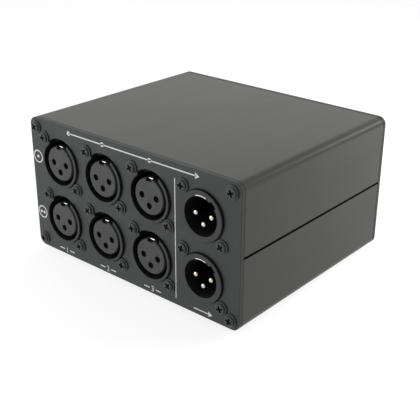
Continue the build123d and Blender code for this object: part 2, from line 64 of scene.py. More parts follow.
class Body(Enum):
    """The two bodies that pieces ride on."""

    CASE = "case"
    SELECTOR = "selector"


class Slot(Enum):
    """The record's material slots."""

    CASE = "case"
    PANEL = "panel"
    CONNECTOR_SHELL = "connector_shell"
    CONNECTOR_CORE = "connector_core"
    CONTACT_GOLD = "contact_gold"
    CONTACT_SILVER = "contact_silver"
    BLACK_SCREW = "black_screw"
    FOOT_RUBBER = "foot_rubber"
    CIRCUIT_BOARD = "circuit_board"
    HEADER_PLASTIC = "header_plastic"
    RIBBON = "ribbon"
    BRIGHT_STEEL = "bright_steel"
    SWITCH_PLASTIC = "switch_plastic"
    KNOB_BLACK = "knob_black"
    WHITE_INLAY = "white_inlay"


class Row(Enum):
    """The two rows of connectors."""

    UPPER = "upper"
    LOWER = "lower"


class Face(Enum):
    """The two end panels, each named by its node."""

    REAR = "rear_panel"
    FRONT = "front_panel"

    def plane(self) -> float:
        """Y of the panel's outer face, in metres."""
        low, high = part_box(self.value)
        return low.y if self is Face.REAR else high.y

    def place(self, x: float, z: float, lift: float = 0.0, turn: float = 0.0) -> Matrix:
        """Finds where a flat layout goes on the panel.

        Args:
            x: row-frame X of the layout's origin, in metres.
            z: row-frame Z of the layout's origin, in metres.
            lift: distance in front of the panel's outer face, in metres.
            turn: angle about the outward direction, in radians.

        Returns:
            A matrix that turns local +Z outwards and local +Y upwards.
        """
        outward = -1.0 if self is Face.REAR else 1.0
        facing = Matrix.Rotation(math.pi / 2, 4, "X")
        if self is Face.FRONT:
            facing = Matrix.Rotation(math.pi, 4, "Z") @ facing
        spot = Matrix.Translation((x, self.plane() + outward * lift, z))
        return spot @ facing @ Matrix.Rotation(turn, 4, "Z")


class NodeSheet:
    """The node tree of a material or of the world, while nodes are laid down on it."""

    noise_roughness: float = 0.55

    def __init__(self, owner: Material | World) -> None:
        """Turns on the nodes of a material or of the world."""
        owner.use_nodes = True
        self.tree = owner.node_tree

    def add(self, kind: str, values: dict[str, object] | None = None) -> Node:
        """Adds a node.

        Args:
            kind: the node's type name.
            values: what its input sockets are set to, by socket name.

        Returns:
            The new node.
        """
        node = self.tree.nodes.new(kind)
        for name, value in (values or {}).items():
            node.inputs[name].default_value = value
        return node

    def link(self, source: Socket, target: Socket) -> None:
        """Joins two sockets."""
        self.tree.links.new(source, target)

    def object_place(self, stretch: Triple = (1.0, 1.0, 1.0), shift: Triple = (0.0, 0.0, 0.0)) -> Socket:
        """Reads the surface's place in the row frame.

        Args:
            stretch: scale of the three axes.
            shift: distance that the origin moves, in metres.

        Returns:
            The socket of the mapped coordinates.
        """
        source = self.add("ShaderNodeTexCoord")
        mapping = self.add("ShaderNodeMapping", {"Location": shift, "Scale": stretch})
        self.link(source.outputs["Object"], mapping.inputs["Vector"])
        return mapping.outputs["Vector"]

    def noise(self, size: float, detail: float, place: Socket) -> Socket:
        """Adds a noise.

        Args:
            size: width of one blotch, in millimetres.
            detail: number of finer layers.
            place: coordinates that it is read at.

        Returns:
            The socket of the noise, from 0 to 1.
        """
        values = {"Scale": 1.0 / (size * MM), "Detail": detail, "Roughness": self.noise_roughness}
        node = self.add("ShaderNodeTexNoise", values)
        self.link(place, node.inputs["Vector"])
        return node.outputs["Fac"]

    def ramp(self, factor: Socket, stops: list[tuple[float, Colour]]) -> Socket:
        """Turns a number into a colour.

        Args:
            factor: the number's socket.
            stops: places from 0 to 1, each with its colour.

        Returns:
            The socket of the colour.
        """
        node = self.add("ShaderNodeValToRGB")
        marks = node.color_ramp.elements
        while len(marks) < len(stops):
            marks.new(0.5)
        for mark, (place, colour) in zip(marks, stops):
            mark.position = place
            mark.color = (*colour, 1.0)
        self.link(factor, node.inputs["Fac"])
        return node.outputs["Color"]

    def spread(self, factor: Socket, low: float, high: float) -> Socket:
        """Maps a noise's useful part onto a range.

        Args:
            factor: the noise's socket.
            low: result at the part's lower end.
            high: result at its upper end.

        Returns:
            The socket of the result.
        """
        least, most = NOISE_RANGE
        values = {"From Min": least, "From Max": most, "To Min": low, "To Max": high}
        node = self.add("ShaderNodeMapRange", values)
        self.link(factor, node.inputs["Value"])
        return node.outputs["Result"]

    def maths(self, operation: str, first: Amount, second: Amount) -> Socket:
        """Works out one number from two.

        Args:
            operation: the Math node's operation.
            first: a socket or a plain number.
            second: a socket or a plain number.

        Returns:
            The socket of the result.
        """
        node = self.add("ShaderNodeMath")
        node.operation = operation
        for socket, amount in zip(node.inputs, (first, second)):
            if isinstance(amount, float):
                socket.default_value = amount
            else:
                self.link(amount, socket)
        return node.outputs["Value"]

    def folded(self, stretch: Triple, shift: Triple) -> Node:
        """Reads the surface's place, without signs.

        Args:
            stretch: scale of the three axes.
            shift: distance that the origin moves, after the scale.

        Returns:
            A node with the outputs X, Y and Z.
        """
        plain = self.add("ShaderNodeVectorMath")
        plain.operation = "ABSOLUTE"
        self.link(self.object_place(stretch, shift), plain.inputs[0])
        parts = self.add("ShaderNodeSeparateXYZ")
        self.link(plain.outputs["Vector"], parts.inputs["Vector"])
        return parts

    def bump(self, height: Socket, depth: float, strength: float) -> Socket:
        """Turns a height into a relief.

        Args:
            height: the socket of the height, from 0 to 1.
            depth: height of the relief, in millimetres.
            strength: how much of it shows, from 0 to 1.

        Returns:
            The socket of the surface's direction.
        """
        node = self.add("ShaderNodeBump", {"Strength": strength, "Distance": depth * MM})
        self.link(height, node.inputs["Height"])
        return node.outputs["Normal"]


@dataclass(frozen=True)
class Finish:
    """A surface with slow mottling, uneven gloss and a fine relief."""

    label: str
    tone: Colour
    roughness: float
    metallic: float = 0.0
    mottle: float = 0.08
    mottle_size: float = 16.0
    uneven: float = 0.05
    grain_size: float = 0.3
    grain_stretch: Triple = (1.0, 1.0, 1.0)
    grain_depth: float = 0.02
    grain_strength: float = 0.25
    specular: float = 0.5
    gleam: Colour = (1.0, 1.0, 1.0)
    mottle_detail: float = 3.0
    gloss_fineness: float = 3.0
    grain_detail: float = 2.0

    def shade(self, factor: float) -> Colour:
        """The tone, made lighter or darker by a factor."""
        red, green, blue = (min(1.0, part * factor) for part in self.tone)
        return red, green, blue

    def shaded(self, sheet: NodeSheet, number: Socket, shades: Shades) -> Socket:
        """Turns a number into a colour; each shade is a place from 0 to 1 and the tone's factor there."""
        return sheet.ramp(number, [(place, self.shade(factor)) for place, factor in shades])

    def colour(self, sheet: NodeSheet) -> Socket:
        """Lays down the colour on a material's nodes.

        Args:
            sheet: the material's nodes.

        Returns:
            The socket of the colour.
        """
        low, high = NOISE_RANGE
        blotch = sheet.noise(self.mottle_size, self.mottle_detail, sheet.object_place())
        return self.shaded(sheet, blotch, ((low, 1 - self.mottle), (high, 1 + self.mottle)))

    def relief(self, sheet: NodeSheet) -> Socket:
        """Lays down the relief and gives the socket of its height."""
        return sheet.noise(self.grain_size, self.grain_detail, sheet.object_place(self.grain_stretch))

    def material(self) -> Material:
        """Makes the material the first time that it is asked for.

        Returns:
            The finish's material.
        """
        known = bpy.data.materials.get(self.label)
        if known is not None:
            return known
        material = bpy.data.materials.new(self.label)
        sheet = NodeSheet(material)
        shader = sheet.tree.nodes["Principled BSDF"].inputs
        shader["Metallic"].default_value = self.metallic
        shader["Specular IOR Level"].default_value = self.specular
        shader["Specular Tint"].default_value = (*self.gleam, 1.0)
        sheet.link(self.colour(sheet), shader["Base Color"])
        patch = self.mottle_size / self.gloss_fineness
        gloss = sheet.noise(patch, self.mottle_detail, sheet.object_place(self.grain_stretch))
        rough = sheet.spread(gloss, self.roughness - self.uneven, self.roughness + self.uneven)
        sheet.link(rough, shader["Roughness"])
        relief = sheet.bump(self.relief(sheet), self.grain_depth, self.grain_strength)
        sheet.link(relief, shader["Normal"])
        material.diffuse_color = (*self.tone, 1.0)
        return material


@dataclass(frozen=True)
class FadedFinish(Finish, ABC):
    """A finish with painted shade: it turns darker across a band of places."""

    band: tuple[float, float] = (0.0, 1.0)
    far_shade: Colour = (0.2, 0.2, 0.2)

    @abstractmethod
    def reading(self, sheet: NodeSheet) -> Socket:
        """Lays down the number that the band is compared with and gives its socket."""

    def colour(self, sheet: NodeSheet) -> Socket:
        """Lays down the colour, whole at the band's first end and with painted shade from its second end on.

        Args:
            sheet: the material's nodes.

        Returns:
            The socket of the colour.
        """
        fade = sheet.add("ShaderNodeMapRange", {"From Min": self.band[0], "From Max": self.band[1]})
        sheet.link(self.reading(sheet), fade.inputs["Value"])
        # The band's painted shade, as a factor that darkens the colour
        painted_shade_factor = sheet.ramp(fade.outputs["Result"], [(0.0, (1.0, 1.0, 1.0)), (1.0, self.far_shade)])
        mixed = sheet.add("ShaderNodeVectorMath")
        mixed.operation = "MULTIPLY"
        sheet.link(super().colour(sheet), mixed.inputs[0])
        sheet.link(painted_shade_factor, mixed.inputs[1])
        return mixed.outputs["Vector"]


@dataclass(frozen=True)
class EndPiece(FadedFinish):
    """A piece set in an end panel, with painted shade on its walls and deep inside it; the band is in
    millimetres behind the panel's face.
    """

    def reading(self, sheet: NodeSheet) -> Socket:
        """Lays down the depth behind the nearer panel's outer face.

        Args:
            sheet: the material's nodes.

        Returns:
            The depth's socket, in millimetres.
        """
        rear, front = Face.REAR.plane() / MM, Face.FRONT.plane() / MM
        away = sheet.folded((1 / MM,) * 3, (0.0, -(rear + front) / 2, 0.0))
        return sheet.maths("SUBTRACT", (front - rear) / 2, away.outputs["Y"])


@dataclass(frozen=True)
class SeamedCase(FadedFinish):
    """Anodised halves with painted shade along the seam where they meet; the band is in millimetres from the
    seam's middle.
    """

    seam_height: float = 32.95

    def reading(self, sheet: NodeSheet) -> Socket:
        """Lays down the distance above or below the seam, in millimetres."""
        return sheet.folded((1 / MM,) * 3, (0.0, 0.0, -self.seam_height)).outputs["Z"]


@dataclass(frozen=True)
class PanelPaint(FadedFinish):
    """Paint on an end panel, with painted shade on its cut edges; the band is in shares of the corner's radius.
    """

    half_outline: tuple[float, float] = (57.5 * MM, 30.0 * MM)
    outline_height: float = 32.5 * MM
    corner: float = 3.5 * MM

    def reading(self, sheet: NodeSheet) -> Socket:
        """Lays down how far a place is from the outline drawn in by the corner's radius.

        Args:
            sheet: the material's nodes.

        Returns:
            The socket of the distance, in shares of that radius: 1 on the outline.
        """
        scale = 1 / self.corner
        place = sheet.folded((scale, 1.0, scale), (0.0, 0.0, -self.outline_height * scale))
        squares = []
        for axis, half in zip("XZ", self.half_outline):
            past = sheet.maths("SUBTRACT", place.outputs[axis], half * scale - 1.0)
            beyond = sheet.maths("MAXIMUM", past, 0.0)
            squares.append(sheet.maths("MULTIPLY", beyond, beyond))
        return sheet.maths("POWER", sheet.maths("ADD", *squares), 0.5)


@dataclass(frozen=True)
class PrintedInk(Finish):
    """Screen-printed ink, thin in small spots."""

    spot_size: float = 0.5
    spot_shades: Shades = ((0.28, 0.82), (0.45, 1.0), (1.0, 1.04))

    def colour(self, sheet: NodeSheet) -> Socket:
        """Lays down ink that is thinner in small spots."""
        spots = sheet.noise(self.spot_size, self.grain_detail, sheet.object_place())
        return self.shaded(sheet, spots, self.spot_shades)


@dataclass(frozen=True)
class TurnedMetal(Finish):
    """Metal turned on a lathe about the selector's axis, with fine rings on its end faces."""

    axis_height: float = 32.5 * MM
    ring_pitch: float = 0.45

    def relief(self, sheet: NodeSheet) -> Socket:
        """Lays down rings about the axis.

        Args:
            sheet: the material's nodes.

        Returns:
            The socket of the height.
        """
        across = sheet.object_place((1.0, 0.0, 1.0), (0.0, 0.0, -self.axis_height))
        radius = sheet.add("ShaderNodeVectorMath")
        radius.operation = "LENGTH"
        sheet.link(across, radius.inputs[0])
        values = {"Scale": 1.0 / (self.ring_pitch * MM), "Detail": self.grain_detail}
        rings = sheet.add("ShaderNodeTexNoise", values)
        rings.noise_dimensions = "1D"
        sheet.link(radius.outputs["Value"], rings.inputs["W"])
        return rings.outputs["Fac"]


@dataclass(frozen=True)
class SolderMask(Finish):
    """Board lacquer with paler copper areas under it."""

    track_size: float = 5.0
    track_shades: Shades = ((0.42, 1.35), (0.5, 1.0))

    def colour(self, sheet: NodeSheet) -> Socket:
        """Lays down lacquer that is paler over copper.

        Args:
            sheet: the material's nodes.

        Returns:
            The socket of the colour.
        """
        cells = sheet.add("ShaderNodeTexVoronoi", {"Scale": 1.0 / (self.track_size * MM)})
        cells.distance = "CHEBYCHEV"
        sheet.link(sheet.object_place(), cells.inputs["Vector"])
        return self.shaded(sheet, cells.outputs["Distance"], self.track_shades)


@dataclass(frozen=True)
class RibbonInsulation(Finish):
    """Flat cable insulation, with a rib over each wire."""

    rib_pitch: float = 1.27
    wave_scale: float = 0.314
    furrow_shades: Shades = ((0.0, 0.6), (0.5, 1.0))

    def ribs(self, sheet: NodeSheet) -> Socket:
        """Makes the wave across the wires.

        Args:
            sheet: the material's nodes.

        Returns:
            The socket of the wave, from 0 to 1.
        """
        wave = sheet.add("ShaderNodeTexWave", {"Scale": self.wave_scale / (self.rib_pitch * MM)})
        wave.bands_direction = "Z"
        sheet.link(sheet.object_place(), wave.inputs["Vector"])
        return wave.outputs["Fac"]

    def colour(self, sheet: NodeSheet) -> Socket:
        """Lays down painted shade in the furrows between the wires."""
        return self.shaded(sheet, self.ribs(sheet), self.furrow_shades)

    def relief(self, sheet: NodeSheet) -> Socket:
        """The ribs' height."""
        return self.ribs(sheet)


FINISHES: dict[Slot, Finish] = {
    # The case's band is painted shade along the seam between the two halves.
    Slot.CASE: SeamedCase("case_anodised", (0.02, 0.0203, 0.017), 0.34, grain_size=0.5,
        grain_stretch=(1.0, 0.12, 1.0), mottle=0.04, mottle_size=24.0, uneven=0.02, grain_strength=0.15,
        specular=0.37, gleam=(0.985, 1.0, 0.97), band=(0.555, 0.535), far_shade=(0.08, 0.08, 0.08)),
    # The panel's band is painted shade on its cut edges.
    Slot.PANEL: PanelPaint("panel_satin_black", (0.0425, 0.0464, 0.0459), 0.46, grain_size=0.22,
        mottle=0.07, uneven=0.03, grain_strength=0.2, specular=0.3, gleam=(0.96, 1.0, 0.99),
        band=(0.965, 0.993), far_shade=(0.42, 0.42, 0.42)),
    # The shell's band is painted shade on the ring's outer wall and inside its bore.
    Slot.CONNECTOR_SHELL: EndPiece("shell_moulding", (0.06, 0.061, 0.061), 0.5, grain_size=0.18,
        mottle=0.1, mottle_size=6.0, specular=0.15, band=(-1.22, -0.95)),
    # The core's band is painted shade on its chamfer and in its holes.
    Slot.CONNECTOR_CORE: EndPiece("core_moulding", (0.078, 0.079, 0.08), 0.5, grain_size=0.18, mottle=0.1,
        mottle_size=5.0, specular=0.15, band=(-0.68, -0.45)),
    # The gold's band is painted shade along the pins' shafts, behind their tips.
    Slot.CONTACT_GOLD: EndPiece("contact_gold_plate", (0.68, 0.645, 0.53), 0.18, metallic=1.0, mottle=0.05,
        mottle_size=1.5, uneven=0.03, grain_size=0.1, grain_depth=0.004, band=(0.0, 0.45),
        far_shade=(0.1, 0.08, 0.03)),
    Slot.CONTACT_SILVER: Finish("contact_bright_tin",
        (0.74, 0.74, 0.73), 0.26, metallic=1.0, mottle=0.06, mottle_size=1.2, grain_size=0.1,
        grain_depth=0.004),
    # The screws' band is painted shade on the sides of their flanges and on their shanks.
    Slot.BLACK_SCREW: EndPiece("screw_black_zinc", (0.055, 0.056, 0.057), 0.4, mottle=0.25,
        mottle_size=1.2, uneven=0.08, grain_size=0.12, specular=0.3, band=(-0.55, -0.35),
        far_shade=(0.25, 0.25, 0.25)),
    Slot.FOOT_RUBBER: Finish("foot_matt_rubber",
        (0.022, 0.022, 0.022), 0.8, mottle=0.2, mottle_size=3.0, grain_size=0.2, grain_strength=0.4),
    Slot.CIRCUIT_BOARD: SolderMask("board_green_mask", (0.02, 0.13, 0.05), 0.3, grain_size=0.6),
    Slot.HEADER_PLASTIC: Finish("header_moulding", (0.025, 0.025, 0.026), 0.45, mottle_size=4.0),
    Slot.RIBBON: RibbonInsulation("ribbon_grey_insulation",
        (0.42, 0.42, 0.43), 0.5, grain_depth=0.15, grain_strength=0.8),
    Slot.BRIGHT_STEEL: TurnedMetal("steel_turned_nickel",
        (0.66, 0.65, 0.62), 0.28, metallic=1.0, mottle=0.06, mottle_size=3.0, grain_depth=0.008),
    Slot.SWITCH_PLASTIC: Finish("switch_phenolic",
        (0.03, 0.026, 0.024), 0.35, mottle=0.2, mottle_size=2.5),
    Slot.KNOB_BLACK: TurnedMetal("knob_turned_black",
        (0.024, 0.024, 0.025), 0.36, mottle=0.08, mottle_size=8.0, grain_depth=0.02, grain_strength=0.5),
    Slot.WHITE_INLAY: PrintedInk("ink_white",
        (0.78, 0.78, 0.76), 0.55, grain_size=0.12, grain_depth=0.006),
}
# Painted shade in the screws' cross recesses, laid as a near-black material.
RECESS_PAINTED_SHADE = Finish("screw_recess_painted_shade", (0.012, 0.012, 0.012), 0.6, specular=0.2, mottle=0.3,
    mottle_size=0.6)
# Gold darkened to paint the shade on the socket contacts, deep in the core's holes.
PAINTED_SHADE_GOLD = Finish("contact_gold_painted_shade", (0.16, 0.13, 0.07), 0.45, metallic=1.0, mottle=0.2,
    mottle_size=0.8)


def middle(node: str) -> Vector:
    """The middle of a CAD node's box, in metres."""
    low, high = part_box(node)
    return (low + high) / 2


def dress_nodes(slot: Slot, *nodes: str, finish: Finish | None = None) -> None:
    """Gives CAD nodes their finish.

    Args:
        slot: the record's slot that they take.
        nodes: the nodes' names.
        finish: a finish of their own, in place of the slot's.
    """
    for node in nodes:
        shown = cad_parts[node]
        if not shown.material_slots:
            shown.data.materials.append(None)
        for holder in shown.material_slots:
            holder.material = (finish or FINISHES[slot]).material()
        LOG.info("dressed %s as %s", node, slot.value)


def join(target: BMesh, part: BMesh, place: Matrix) -> None:
    """Moves one shape into another.

    Args:
        target: the mesh that gains the shape.
        part: the shape, which is used up.
        place: where it goes.
    """
    bmesh.ops.transform(part, matrix=place, verts=part.verts[:])
    carrier = bpy.data.meshes.new("carrier")
    part.to_mesh(carrier)
    part.free()
    target.from_mesh(carrier)
    bpy.data.meshes.remove(carrier)


def finish_piece(name: str, shape: BMesh, slot: Slot, body: Body, crease: float = 32.0) -> Object:
    """Makes a shape an object of the scene.

    Args:
        name: the piece's name.
        shape: its mesh in the row frame, which is used up.
        slot: the record's slot that it takes its finish from.
        body: the body that it rides on.
        crease: angle in degrees above which an edge stays sharp.

    Returns:
        The finished object, at the origin.
    """
    for edge in shape.edges:
        edge.smooth = len(edge.link_faces) == 2 and edge.calc_face_angle(0.0) < math.radians(crease)
    for face in shape.faces:
        face.smooth = True
    mesh = bpy.data.meshes.new(name)
    shape.to_mesh(mesh)
    shape.free()
    mesh.materials.append(FINISHES[slot].material())
    piece = bpy.data.objects.new(name, mesh)
    bpy.context.scene.collection.objects.link(piece)
    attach(piece, body.value)
    LOG.info("built %s: %d faces, rides %s", name, len(mesh.polygons), body.value)
    return piece


def spun(profile: list[tuple[float, float]], steps: int) -> BMesh:
    """Spins a half outline about local Z.

    Args:
        profile: radius and height of each corner, in metres.
        steps: number of sides.

    Returns:
        The turned shape, closed where the outline meets the axis.
    """
    shape = bmesh.new()
    corners = [shape.verts.new((radius, 0.0, height)) for radius, height in profile]
    line = [shape.edges.new(pair) for pair in zip(corners, corners[1:])]
    bmesh.ops.spin(shape, geom=corners + line, cent=(0, 0, 0), axis=(0, 0, 1), angle=2 * math.pi, steps=steps,
                   use_merge=True)
    bmesh.ops.remove_doubles(shape, verts=shape.verts[:], dist=CLOSE)
    bmesh.ops.recalc_face_normals(shape, faces=shape.faces[:])
    return shape


def quarter_round(radius: float, height: float, fillet: float, steps: int) -> list[tuple[float, float]]:
    """Rounds the upper outer corner of an outline, in straight runs from the side up to the top."""
    angles = [math.pi / 2 * step / steps for step in range(steps + 1)]
    return [(radius - fillet + fillet * math.cos(a), height - fillet + fillet * math.sin(a)) for a in angles]


class SubAssembly:
    """Pieces that are made and finished together."""

    def build(self) -> None:
        """Makes the new pieces, where there are any."""

    def dress(self) -> None:
        """Finishes the CAD nodes, where there are any."""


@dataclass(frozen=True)
class PanHeadScrew:
    """A pan-head screw on a washer flange, with a cross recess; its head is up +Z and its seat at Z = 0."""

    head_radius: float = 2.1 * MM
    head_round: float = 0.5 * MM
    flange_radius: float = 2.8 * MM
    flange_thick: float = 0.6 * MM
    flange_edge: float = 0.15 * MM
    shank_radius: float = 1.45 * MM
    shank_tip: float = 0.4 * MM
    recess_reach: float = 1.5 * MM
    recess_half_width: float = 0.45 * MM
    recess_depth: float = 1.0 * MM
    recess_taper: float = 0.62
    steps: int = 40
    edge_steps: int = 3
    round_steps: int = 6

    def recessed_top(self, height: float) -> BMesh:
        """Makes the flat of the head with its recess pressed in.

        Args:
            height: height of the head's top, in metres.

        Returns:
            The disc with its recess.
        """
        disc = bmesh.new()
        bmesh.ops.create_circle(disc, cap_ends=True, segments=self.steps,
                                radius=self.head_radius - self.head_round,
                                matrix=Matrix.Translation((0, 0, height)))
        for offset in (-self.recess_reach, -self.recess_half_width, self.recess_half_width, self.recess_reach):
            for axis in (Vector((1, 0, 0)), Vector((0, 1, 0))):
                bmesh.ops.bisect_plane(disc, geom=disc.verts[:] + disc.edges[:] + disc.faces[:],
                                       plane_co=axis * offset, plane_no=axis)
        wings = [face for face in disc.faces if self.in_recess(face)]
        pressed = bmesh.ops.extrude_face_region(disc, geom=wings)["geom"]
        bmesh.ops.delete(disc, geom=[face for face in wings if face.is_valid], context="FACES")
        floor = [item for item in pressed if isinstance(item, BMVert)]
        bmesh.ops.translate(disc, verts=floor, vec=(0, 0, -self.recess_depth))
        bmesh.ops.scale(disc, verts=floor, vec=(self.recess_taper, self.recess_taper, 1.0))
        # The recess's walls and floor take the second material, which is painted shade.
        for face in {face for vert in floor for face in vert.link_faces}:
            face.material_index = 1
        return disc

    def in_recess(self, face: BMFace) -> bool:
        """Says whether a face of the flat lies in the cross."""
        x, y, _ = (abs(part) for part in face.calc_center_median())
        return min(x, y) < self.recess_half_width and max(x, y) < self.recess_reach

    def build(self, height: float, length: float) -> BMesh:
        """Makes one screw.

        Args:
            height: height of the head above its seat, in metres.
            length: length of the shank below its seat, in metres.

        Returns:
            The screw's mesh.
        """
        profile = [(0.0, -length), (self.shank_radius - self.shank_tip, -length),
                   (self.shank_radius, self.shank_tip - length), (self.shank_radius, 0.0),
                   (self.flange_radius - self.flange_edge, 0.0), (self.flange_radius, self.flange_edge),
                   *quarter_round(self.flange_radius, self.flange_thick, self.flange_edge, self.edge_steps),
                   (self.head_radius, self.flange_thick),
                   *quarter_round(self.head_radius, height, self.head_round, self.round_steps)]
        shape = spun(profile, self.steps)
        join(shape, self.recessed_top(height), Matrix.Identity(4))
        bmesh.ops.remove_doubles(shape, verts=shape.verts[:], dist=2 * CLOSE)
        bmesh.ops.recalc_face_normals(shape, faces=shape.faces[:])
        return shape


@dataclass
class Fasteners(SubAssembly):
    """The screws of both panels and of the eight connectors."""

    corner_inset: float = 4.0 * MM
    ear_offset: float = 9.5247 * MM
    panel_shank: float = 10.0 * MM
    turn_step: float = 37.0
    turn_start: int = 5
    cross_turn: float = 90.0
    crease: float = 28.0
    screw: PanHeadScrew = field(default_factory=PanHeadScrew)

    def corner_places(self, face: Face) -> list[Matrix]:
        """Finds the four corner screws of a panel.

        Args:
            face: the panel.

        Returns:
            The screws' seats.
        """
        low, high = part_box(face.value)
        spots = [(x, z) for x in (low.x + self.corner_inset, high.x - self.corner_inset)
                 for z in (low.z + self.corner_inset, high.z - self.corner_inset)]
        return [face.place(x, z, turn=self.turn(index)) for index, (x, z) in enumerate(spots)]

    def connector_places(self) -> list[Matrix]:
        """Finds the two screws of each connector.

        Returns:
            The screws' seats.
        """
        units = ("input_1", "input_2", "input_3", "output")
        centres = [middle(f"{unit}_{row.value}_shell") for unit in units for row in Row]
        spots = [(centre.x + side * self.ear_offset, centre.z - side * self.ear_offset)
                 for centre in centres for side in (-1, 1)]
        numbered = enumerate(spots, self.turn_start)
        return [Face.REAR.place(x, z, turn=self.turn(index)) for index, (x, z) in numbered]

    def turn(self, index: int) -> float:
        """The angle that a screw was left at, in radians."""
        return math.radians(index * self.turn_step % self.cross_turn)

    def set_of(self, name: str, node: str, places: list[Matrix]) -> None:
        """Makes the screws that stand for one CAD node.

        Args:
            name: the new piece's name.
            node: the CAD node that it replaces.
            places: the screws' seats.
        """
        low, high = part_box(node)
        face = Face.REAR.plane()
        depth = high.y - face if node == "connector_screws" else self.panel_shank
        shape = bmesh.new()
        for place in places:
            join(shape, self.screw.build(face - low.y, depth), place)
        piece = finish_piece(name, shape, Slot.BLACK_SCREW, Body.CASE, self.crease)
        # The second material paints shade in the cross recesses.
        piece.data.materials.append(RECESS_PAINTED_SHADE.material())
        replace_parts(piece, node)

    def build(self) -> None:
        """Makes both sets of screws."""
        self.set_of("connector_screw_set", "connector_screws", self.connector_places())
        corners = [place for face in Face for place in self.corner_places(face)]
        self.set_of("panel_screw_set", "panel_screws", corners)

    def dress(self) -> None:
        """Finishes the CAD screws, which their replacements hide."""
        dress_nodes(Slot.BLACK_SCREW, "connector_screws", "panel_screws")


@dataclass
class Feet(SubAssembly):
    """Four rubber feet with a rounded tread and a shallow well."""

    radius: float = 5.0 * MM
    tread_round: float = 0.6 * MM
    well_radius: float = 2.2 * MM
    well_depth: float = 0.5 * MM
    shoulder: float = 0.25 * MM
    steps: int = 48
    round_steps: int = 5

    def build(self) -> None:
        """Makes the feet where the CAD feet are."""
        low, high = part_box("rubber_feet")
        height = high.z - low.z
        tread = quarter_round(self.radius, height, self.tread_round, self.round_steps)
        profile = [(0.0, 0.0), (self.radius - self.shoulder, 0.0), (self.radius, self.shoulder), *tread,
                   (self.well_radius + self.well_depth, height), (self.well_radius, height - self.well_depth),
                   (0.0, height - self.well_depth)]
        shape = bmesh.new()
        for x in (low.x + self.radius, high.x - self.radius):
            for y in (low.y + self.radius, high.y - self.radius):
                upside_down = Matrix.Translation((x, y, high.z)) @ Matrix.Rotation(math.pi, 4, "X")
                join(shape, spun(profile, self.steps), upside_down)
        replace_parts(finish_piece("tread_feet", shape, Slot.FOOT_RUBBER, Body.CASE), "rubber_feet")

    def dress(self) -> None:
        """Finishes the CAD feet, which their replacements hide."""
        dress_nodes(Slot.FOOT_RUBBER, "rubber_feet")


class FlatLayout:
    """Flat marks laid out in millimetres, with +X to the right and +Y up as they are read."""

    capital_share: float = 0.7
    curve_steps: int = 4
    ring_sides: int = 48
    merge: float = 0.001

    def __init__(self) -> None:
        """Starts with nothing laid out."""
        self.shape = bmesh.new()

    def bar(self, x: float, y: float, width: float, height: float) -> None:
        """Lays a bar of a width and height, with its middle at x and y."""
        spot = Matrix.Translation((x, y, 0)) @ Matrix.Diagonal((width, height, 1, 1))
        bmesh.ops.create_grid(self.shape, x_segments=1, y_segments=1, size=0.5, matrix=spot)

    def dot(self, x: float, y: float, radius: float, sides: int = 28) -> None:
        """Lays a dot with its middle at x and y."""
        bmesh.ops.create_circle(self.shape, cap_ends=True, segments=sides, radius=radius,
                                matrix=Matrix.Translation((x, y, 0)))

    def ring(self, x: float, y: float, radius: float, stroke: float) -> None:
        """Lays a ring.

        Args:
            x: middle, to the right.
            y: middle, upwards.
            radius: outer radius.
            stroke: width of the line.
        """
        made = bmesh.ops.create_circle(self.shape, cap_ends=True, segments=self.ring_sides, radius=radius,
                                       matrix=Matrix.Translation((x, y, 0)))
        disc = made["verts"][0].link_faces[0]
        bmesh.ops.inset_region(self.shape, faces=[disc], thickness=stroke, use_boundary=True,
                               use_even_offset=True)
        bmesh.ops.delete(self.shape, geom=[disc], context="FACES_ONLY")

    def arrowhead(self, x: float, y: float, reach: float, turn: float) -> None:
        """Lays a three-sided arrowhead, whose tip is turned from +X towards +Y by an angle in degrees."""
        spot = Matrix.Translation((x, y, 0)) @ Matrix.Rotation(math.radians(turn - 90), 4, "Z")
        bmesh.ops.create_circle(self.shape, cap_ends=True, segments=3, radius=reach, matrix=spot)

    def figures(self, text: str, x: float, y: float, height: float) -> None:
        """Lays plain figures.

        Args:
            text: the figures.
            x: middle, to the right.
            y: middle, upwards.
            height: height of a figure.
        """
        line = bpy.data.curves.new("figures", "FONT")
        line.body = text
        line.size = height / self.capital_share
        line.align_x = "CENTER"
        line.resolution_u = self.curve_steps
        holder = bpy.data.objects.new("figures", line)
        flat = bpy.data.meshes.new_from_object(holder)
        flat.transform(Matrix.Translation((x, y - height / 2, 0)))
        self.shape.from_mesh(flat)
        bpy.data.objects.remove(holder)
        bpy.data.curves.remove(line)
        bpy.data.meshes.remove(flat)

    def raised(self, thickness: float, place: Matrix) -> BMesh:
        """Gives the marks their thickness and moves them to their place.

        Args:
            thickness: height of the marks, in millimetres.
            place: the panel's matrix for the layout's origin.

        Returns:
            The marks' mesh in the row frame.
        """
        shape = self.shape
        bmesh.ops.remove_doubles(shape, verts=shape.verts[:], dist=self.merge)
        shape.normal_update()
        under = [face for face in shape.faces if face.normal.z < 0]
        bmesh.ops.reverse_faces(shape, faces=under)
        made = bmesh.ops.extrude_face_region(shape, geom=shape.faces[:], use_keep_orig=True)["geom"]
        top = [item for item in made if isinstance(item, BMVert)]
        bmesh.ops.translate(shape, verts=top, vec=(0, 0, thickness))
        bmesh.ops.recalc_face_normals(shape, faces=shape.faces[:])
        bmesh.ops.transform(shape, matrix=place @ Matrix.Scale(MM, 4), verts=shape.verts[:])
        return shape


@dataclass
class Case(SubAssembly):
    """The two halves of the case and the end panels, which show as they are in the CAD model."""

    def dress(self) -> None:
        """Finishes the halves and the panels."""
        dress_nodes(Slot.CASE, "upper_shell", "lower_shell")
        dress_nodes(Slot.PANEL, *(face.value for face in Face))


